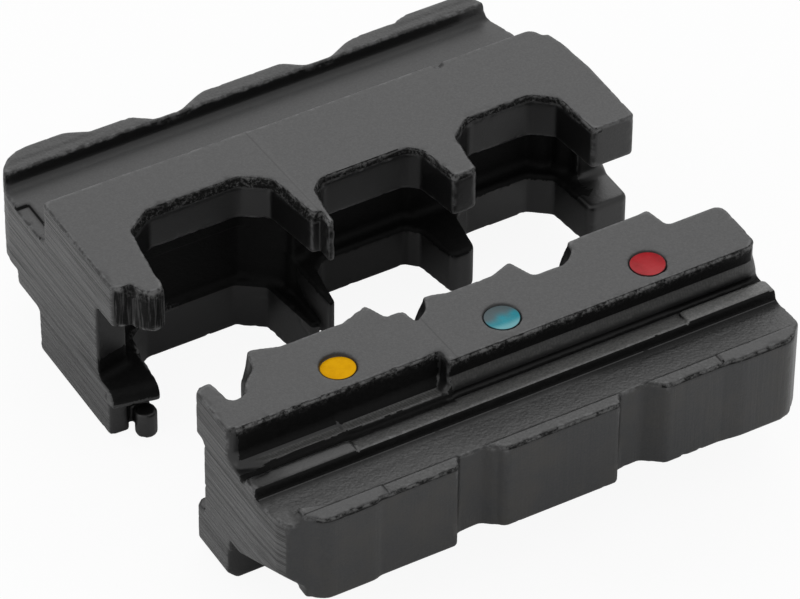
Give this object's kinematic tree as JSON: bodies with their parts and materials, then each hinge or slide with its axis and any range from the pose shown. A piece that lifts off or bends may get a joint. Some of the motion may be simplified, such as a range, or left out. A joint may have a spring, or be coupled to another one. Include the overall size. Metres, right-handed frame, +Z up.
{
  "type": "crimping die",
  "caption": "Crimping die set for insulated terminals: a nest die with graded nests and an indenter die whose colour-marked punches close into them",
  "frame": {"origin": "middle of the open pair's footprint, on the surface that it lies on", "axes": "X runs along both dies, Y is the closing direction from the indenter die to the nest die, Z is up through the thickness"},
  "size_m": [0.0318, 0.034, 0.0112],
  "materials": {
    "die_steel": "black oxide, satin on ground faces and grainy where cast",
    "yellow_paint": "opaque enamel dot",
    "blue_paint": "thin worn enamel dot",
    "red_paint": "glossy enamel dot"
  },
  "bodies": {
    "nest": {"nest_die": "die_steel"},
    "indenter": {"indenter_die": "die_steel", "yellow_mark": "yellow_paint", "blue_mark": "blue_paint", "red_mark": "red_paint"}
  },
  "joints": [
    {"name": "closing", "type": "slide", "parent": "nest", "child": "indenter", "axis": [0, 1, 0], "range_m": [0, 0.0076]}
  ]
}
